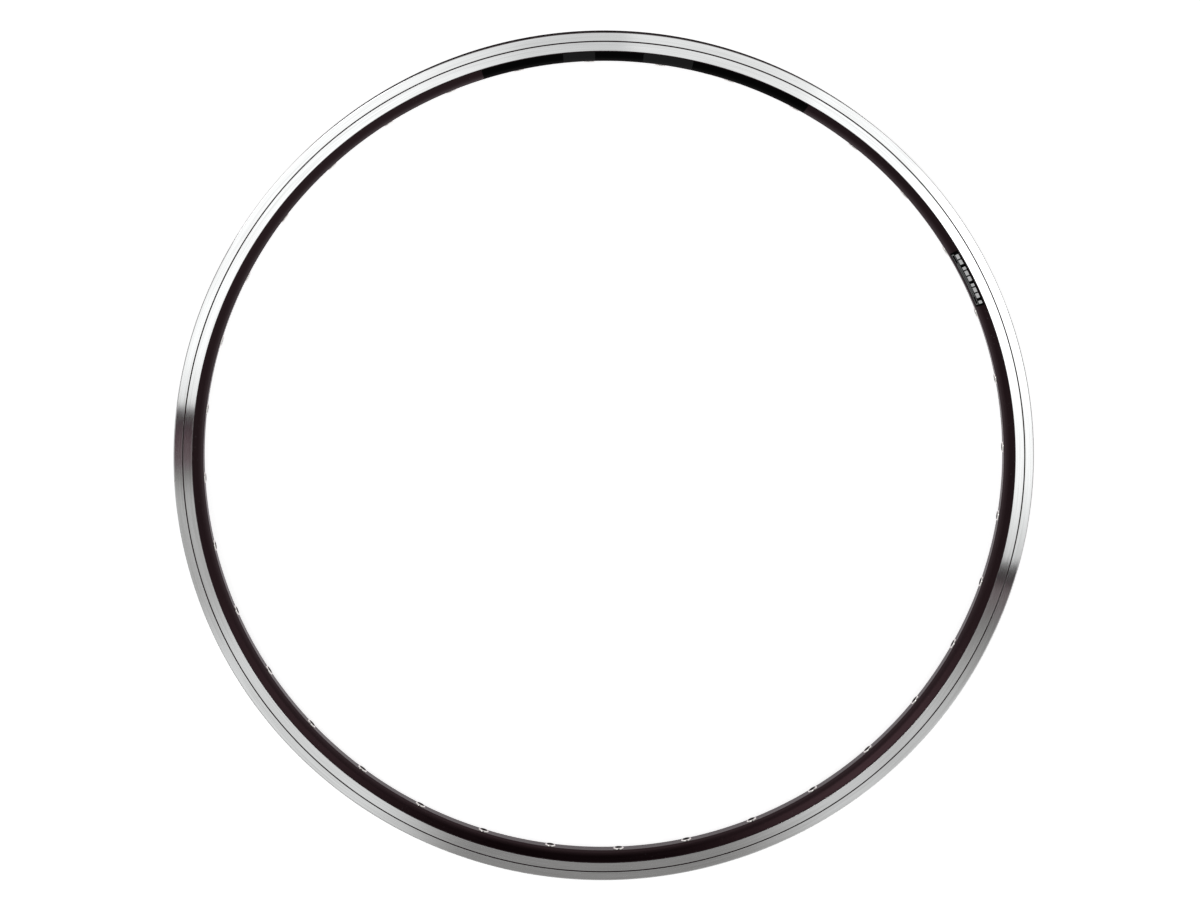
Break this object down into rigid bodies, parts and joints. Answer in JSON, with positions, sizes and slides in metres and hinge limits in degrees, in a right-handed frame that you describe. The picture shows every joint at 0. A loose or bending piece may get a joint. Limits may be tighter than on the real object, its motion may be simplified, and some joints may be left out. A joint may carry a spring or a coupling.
{
  "type": "bicycle rim",
  "caption": "Double-wall aluminium bicycle rim with machined brake tracks, hooked tyre flanges and a ring of metal spoke eyelets, lying flat.",
  "frame": {"origin": "the rim's centre, on the wheel axis and midway between the brake tracks", "axes": "+Z along the wheel axis, up as the rim lies; +Y through the valve hole"},
  "size_m": [0.634, 0.634, 0.025],
  "materials": {
    "anodised_hoop": "satin black anodised, with bright machined brake tracks",
    "eyelet_metal": "bright nickel-plated steel"
  },
  "bodies": {
    "root": {"rim_hoop": "anodised_hoop", "spoke_eyelet_01": "eyelet_metal", "spoke_eyelet_02": "eyelet_metal", "spoke_eyelet_03": "eyelet_metal", "spoke_eyelet_04": "eyelet_metal", "spoke_eyelet_05": "eyelet_metal", "spoke_eyelet_06": "eyelet_metal", "spoke_eyelet_07": "eyelet_metal", "spoke_eyelet_08": "eyelet_metal", "spoke_eyelet_09": "eyelet_metal", "spoke_eyelet_10": "eyelet_metal", "spoke_eyelet_11": "eyelet_metal", "spoke_eyelet_12": "eyelet_metal", "spoke_eyelet_13": "eyelet_metal", "spoke_eyelet_14": "eyelet_metal", "spoke_eyelet_15": "eyelet_metal", "spoke_eyelet_16": "eyelet_metal", "spoke_eyelet_17": "eyelet_metal", "spoke_eyelet_18": "eyelet_metal", "spoke_eyelet_19": "eyelet_metal", "spoke_eyelet_20": "eyelet_metal", "spoke_eyelet_21": "eyelet_metal", "spoke_eyelet_22": "eyelet_metal", "spoke_eyelet_23": "eyelet_metal", "spoke_eyelet_24": "eyelet_metal", "spoke_eyelet_25": "eyelet_metal", "spoke_eyelet_26": "eyelet_metal", "spoke_eyelet_27": "eyelet_metal", "spoke_eyelet_28": "eyelet_metal", "spoke_eyelet_29": "eyelet_metal", "spoke_eyelet_30": "eyelet_metal", "spoke_eyelet_31": "eyelet_metal", "spoke_eyelet_32": "eyelet_metal", "spoke_eyelet_33": "eyelet_metal", "spoke_eyelet_34": "eyelet_metal", "spoke_eyelet_35": "eyelet_metal", "spoke_eyelet_36": "eyelet_metal"}
  },
  "joints": []
}
